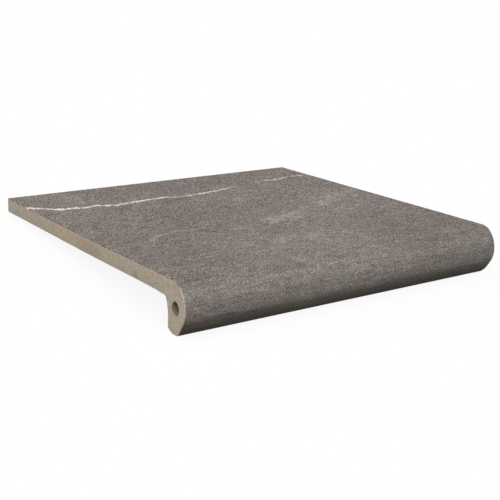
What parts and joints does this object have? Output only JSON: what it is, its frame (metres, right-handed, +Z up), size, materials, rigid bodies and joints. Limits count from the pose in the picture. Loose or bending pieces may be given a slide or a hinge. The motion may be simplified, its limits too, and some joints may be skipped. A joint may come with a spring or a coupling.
{
  "type": "stair tread tile",
  "caption": "Extruded stoneware stair tread tile with a rounded nosing that hangs down at the front and a core hole along it; covers the flat and front edge of a step.",
  "frame": {"origin": "middle of the footprint, on the floor the tile lies on", "axes": "+X along the nosing (the extruded width), +Y from the nosing to the back edge, +Z up; the tile lies as it rests unheld, on the sole of its nosing and its lower back corner"},
  "size_m": [0.33, 0.3176, 0.0424],
  "materials": {
    "stoneware": "matt fired stoneware, warm grey stone look on the tread and nosing, bare beige clay on the ends, back and underside"
  },
  "bodies": {
    "root": {"stair_tread_tile": "stoneware"}
  },
  "joints": []
}
